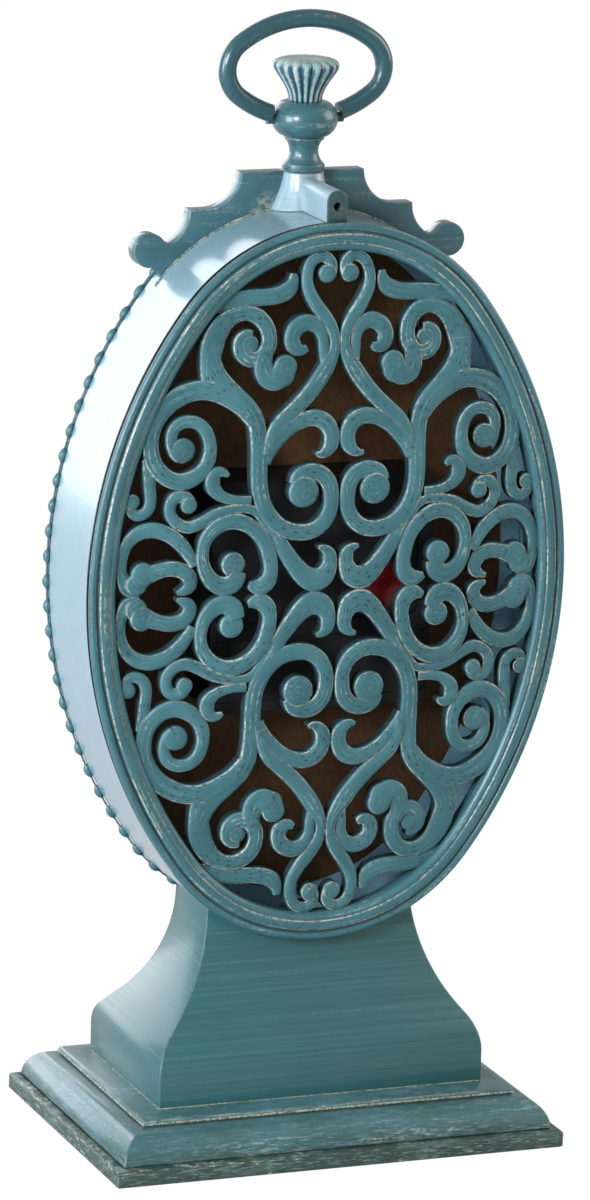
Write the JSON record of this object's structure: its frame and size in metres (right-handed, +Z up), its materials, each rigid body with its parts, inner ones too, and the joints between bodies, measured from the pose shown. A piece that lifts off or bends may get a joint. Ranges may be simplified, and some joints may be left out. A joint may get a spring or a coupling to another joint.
{
  "type": "table clock",
  "caption": "Oval table clock shaped like a pocket watch on a moulded base, with a crown and bow on top and a pierced scrollwork rear cover over a battery movement.",
  "frame": {"origin": "middle of the underside of the base", "axes": "+Z up, the dial faces -Y and the pierced rear cover faces +Y"},
  "size_m": [0.1224, 0.081, 0.2716],
  "materials": {
    "plinth_paint": "hand-painted teal over brown undercoat, rubbed at the edges",
    "pedestal_paint": "hand-painted teal, rubbed cream at the edges",
    "bezel_paint": "hand-painted teal moulding",
    "bead_paint": "hand-painted teal, rubbed cream on the beads",
    "drum_paint": "pale blue gloss paint, slightly worn",
    "rim_paint": "hand-painted teal, two rubbed cream lines, speckled",
    "grille_paint": "hand-painted teal casting, rubbed cream on the edges",
    "pediment_paint": "hand-painted teal, rubbed cream at the edges",
    "boss_paint": "pale blue paint with cream glue at the seams",
    "finial_paint": "hand-painted teal, worn",
    "crown_paint": "hand-painted teal with cream rubbed ribs",
    "bow_paint": "hand-painted teal, rubbed on the outside",
    "steel_screw": "zinc-plated steel",
    "brass_fitting": "bright brass",
    "clear_glass": "clear float glass",
    "spacer_card": "white card",
    "dial_paper": "printed cream paper",
    "backing_board": "brown fibreboard",
    "black_case": "black moulded plastic",
    "battery_jacket": "plain grey cell jacket",
    "contact_plate": "nickel-plated spring steel",
    "red_knob": "red moulded plastic",
    "hand_paint": "black lacquered steel"
  },
  "bodies": {
    "case": {"base_plinth": "plinth_paint", "pedestal": "pedestal_paint", "pedestal_screws": "steel_screw", "drum_shell": "drum_paint", "drum_screws": "steel_screw", "front_bezel": "bezel_paint", "bead_trim": "bead_paint", "dial_glass": "clear_glass", "glass_spacer": "spacer_card", "dial_face": "dial_paper", "dial_board": "backing_board", "board_screws": "brass_fitting", "movement_front_case": "black_case", "movement_rear_case": "black_case", "battery": "battery_jacket", "battery_contacts": "contact_plate", "bushing_washer": "brass_fitting", "bushing_nut": "brass_fitting", "pediment": "pediment_paint", "rear_boss": "boss_paint", "finial_neck": "finial_paint", "finial_ball": "finial_paint", "winding_crown": "crown_paint", "crown_stud": "steel_screw"},
    "bow": {"bow": "bow_paint"},
    "rear_cover": {"rear_rim": "rim_paint", "scroll_grille": "grille_paint"},
    "battery_door": {"battery_cover": "black_case"},
    "minute": {"minute_hand": "hand_paint", "hand_nut": "brass_fitting"},
    "hour": {"hour_hand": "hand_paint"},
    "knob": {"setting_knob": "red_knob"}
  },
  "joints": [
    {"name": "bow_swing", "type": "hinge", "parent": "case", "child": "bow", "pos_m": [0, -0.0047, 0.24575], "axis": [1, 0, 0], "range_deg": [-105, 105]},
    {"name": "rear_cover_pull", "type": "slide", "parent": "case", "child": "rear_cover", "axis": [0, 1, 0], "range_m": [0, 0.04]},
    {"name": "battery_door_pull", "type": "slide", "parent": "case", "child": "battery_door", "axis": [0, 1, 0], "range_m": [0, 0.0034]},
    {"name": "minute_turn", "type": "hinge", "parent": "case", "child": "minute", "pos_m": [0, -0.01, 0.1381], "axis": [0, 1, 0], "continuous": true},
    {"name": "hour_turn", "type": "hinge", "parent": "case", "child": "hour", "pos_m": [0, -0.01, 0.1381], "axis": [0, 1, 0], "continuous": true},
    {"name": "setting_turn", "type": "hinge", "parent": "case", "child": "knob", "pos_m": [-0.0158, 0.0147, 0.1365], "axis": [0, 1, 0], "continuous": true}
  ],
  "couplings": [
    {"joint": "hour_turn", "follows": "minute_turn", "ratio": 0.083333},
    {"joint": "setting_turn", "follows": "minute_turn", "ratio": 1}
  ]
}
